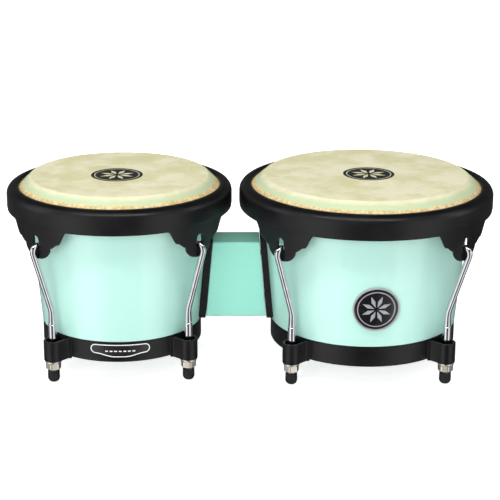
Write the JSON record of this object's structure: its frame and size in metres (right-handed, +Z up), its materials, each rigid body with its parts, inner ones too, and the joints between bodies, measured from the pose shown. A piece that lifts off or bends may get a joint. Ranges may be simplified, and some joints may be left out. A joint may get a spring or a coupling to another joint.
{
  "type": "bongo drums",
  "caption": "Bongo drums: a small and a large hand drum with tapered shells, hide skins and steel rims drawn down by tuning hooks, bolted to one centre block.",
  "frame": {"origin": "on the standing surface, under the middle of the overall box", "axes": "+Z up through the skins, +X from the small drum to the large drum, the badge faces -Y"},
  "size_m": [0.4602, 0.2408, 0.1843],
  "materials": {
    "shell": "glossy sea-green moulded plastic",
    "block": "glossy sea-green moulded plastic, a shade deeper",
    "hide": "natural cream animal skin, matt, faint mottling",
    "black_steel": "black powder coat, satin",
    "chrome": "bright chrome plate",
    "nickel": "warm nickel plate",
    "steel": "plain zinc-plated steel",
    "rubber": "black moulded rubber, matt",
    "badge": "black badge face",
    "bezel": "silver badge ring",
    "label": "black label film with a pale outline"
  },
  "bodies": {
    "shells_and_block": {"small_shell": "shell", "small_skin": "hide", "small_bottom_ring": "black_steel", "small_washer_back_right": "nickel", "small_washer_back_left": "nickel", "small_washer_front_left": "nickel", "small_washer_front_right": "nickel", "small_gasket": "rubber", "small_backing_plate": "steel", "small_block_bolt_upper": "steel", "small_block_bolt_lower": "steel", "small_block_nut_upper": "steel", "small_block_nut_lower": "steel", "large_shell": "shell", "large_skin": "hide", "large_bottom_ring": "black_steel", "large_washer_back_right": "nickel", "large_washer_back_left": "nickel", "large_washer_front_left": "nickel", "large_washer_front_right": "nickel", "large_gasket": "rubber", "large_backing_plate": "steel", "large_block_bolt_upper": "steel", "large_block_bolt_lower": "steel", "large_block_nut_upper": "steel", "large_block_nut_lower": "steel", "center_block": "block", "badge": "badge", "badge_ring": "bezel", "band_label": "label"},
    "small_tuning": {"small_rim": "black_steel", "small_flesh_hoop": "steel", "small_tuning_hook_back_right": "chrome", "small_foot_cap_back_right": "rubber", "small_tuning_hook_back_left": "chrome", "small_foot_cap_back_left": "rubber", "small_tuning_hook_front_left": "chrome", "small_foot_cap_front_left": "rubber", "small_tuning_hook_front_right": "chrome", "small_foot_cap_front_right": "rubber"},
    "small_nut_back_right": {"small_tuning_nut_back_right": "nickel"},
    "small_nut_back_left": {"small_tuning_nut_back_left": "nickel"},
    "small_nut_front_left": {"small_tuning_nut_front_left": "nickel"},
    "small_nut_front_right": {"small_tuning_nut_front_right": "nickel"},
    "large_tuning": {"large_rim": "black_steel", "large_flesh_hoop": "steel", "large_tuning_hook_back_right": "chrome", "large_foot_cap_back_right": "rubber", "large_tuning_hook_back_left": "chrome", "large_foot_cap_back_left": "rubber", "large_tuning_hook_front_left": "chrome", "large_foot_cap_front_left": "rubber", "large_tuning_hook_front_right": "chrome", "large_foot_cap_front_right": "rubber"},
    "large_nut_back_right": {"large_tuning_nut_back_right": "nickel"},
    "large_nut_back_left": {"large_tuning_nut_back_left": "nickel"},
    "large_nut_front_left": {"large_tuning_nut_front_left": "nickel"},
    "large_nut_front_right": {"large_tuning_nut_front_right": "nickel"}
  },
  "joints": [
    {"name": "small_tuning_slide", "type": "slide", "parent": "shells_and_block", "child": "small_tuning", "axis": [0, 0, -1], "range_m": [-0.00094, 0.00375], "deforming": ["small_skin"]},
    {"name": "small_nut_back_right_turn", "type": "hinge", "parent": "shells_and_block", "child": "small_nut_back_right", "pos_m": [-0.06323, 0.06552, 0.0161], "axis": [0, 0, 1], "range_deg": [-271, 1081]},
    {"name": "small_nut_back_left_turn", "type": "hinge", "parent": "shells_and_block", "child": "small_nut_back_left", "pos_m": [-0.18942, 0.06067, 0.0161], "axis": [0, 0, 1], "range_deg": [-271, 1081]},
    {"name": "small_nut_front_left_turn", "type": "hinge", "parent": "shells_and_block", "child": "small_nut_front_left", "pos_m": [-0.18457, -0.06552, 0.0161], "axis": [0, 0, 1], "range_deg": [-271, 1081]},
    {"name": "small_nut_front_right_turn", "type": "hinge", "parent": "shells_and_block", "child": "small_nut_front_right", "pos_m": [-0.05838, -0.06067, 0.0161], "axis": [0, 0, 1], "range_deg": [-271, 1081]},
    {"name": "large_tuning_slide", "type": "slide", "parent": "shells_and_block", "child": "large_tuning", "axis": [0, 0, -1], "range_m": [-0.00094, 0.00375], "deforming": ["large_skin"]},
    {"name": "large_nut_back_right_turn", "type": "hinge", "parent": "shells_and_block", "child": "large_nut_back_right", "pos_m": [0.18146, 0.07277, 0.0161], "axis": [0, 0, 1], "range_deg": [-271, 1081]},
    {"name": "large_nut_back_left_turn", "type": "hinge", "parent": "shells_and_block", "child": "large_nut_back_left", "pos_m": [0.03693, 0.07176, 0.0161], "axis": [0, 0, 1], "range_deg": [-271, 1081]},
    {"name": "large_nut_front_left_turn", "type": "hinge", "parent": "shells_and_block", "child": "large_nut_front_left", "pos_m": [0.03794, -0.07277, 0.0161], "axis": [0, 0, 1], "range_deg": [-271, 1081]},
    {"name": "large_nut_front_right_turn", "type": "hinge", "parent": "shells_and_block", "child": "large_nut_front_right", "pos_m": [0.18247, -0.07176, 0.0161], "axis": [0, 0, 1], "range_deg": [-271, 1081]}
  ],
  "couplings": [
    {"joint": "small_nut_back_right_turn", "follows": "small_tuning_slide", "rad_per_m": 5026.5},
    {"joint": "small_nut_back_left_turn", "follows": "small_tuning_slide", "rad_per_m": 5026.5},
    {"joint": "small_nut_front_left_turn", "follows": "small_tuning_slide", "rad_per_m": 5026.5},
    {"joint": "small_nut_front_right_turn", "follows": "small_tuning_slide", "rad_per_m": 5026.5},
    {"joint": "large_nut_back_right_turn", "follows": "large_tuning_slide", "rad_per_m": 5026.5},
    {"joint": "large_nut_back_left_turn", "follows": "large_tuning_slide", "rad_per_m": 5026.5},
    {"joint": "large_nut_front_left_turn", "follows": "large_tuning_slide", "rad_per_m": 5026.5},
    {"joint": "large_nut_front_right_turn", "follows": "large_tuning_slide", "rad_per_m": 5026.5}
  ]
}
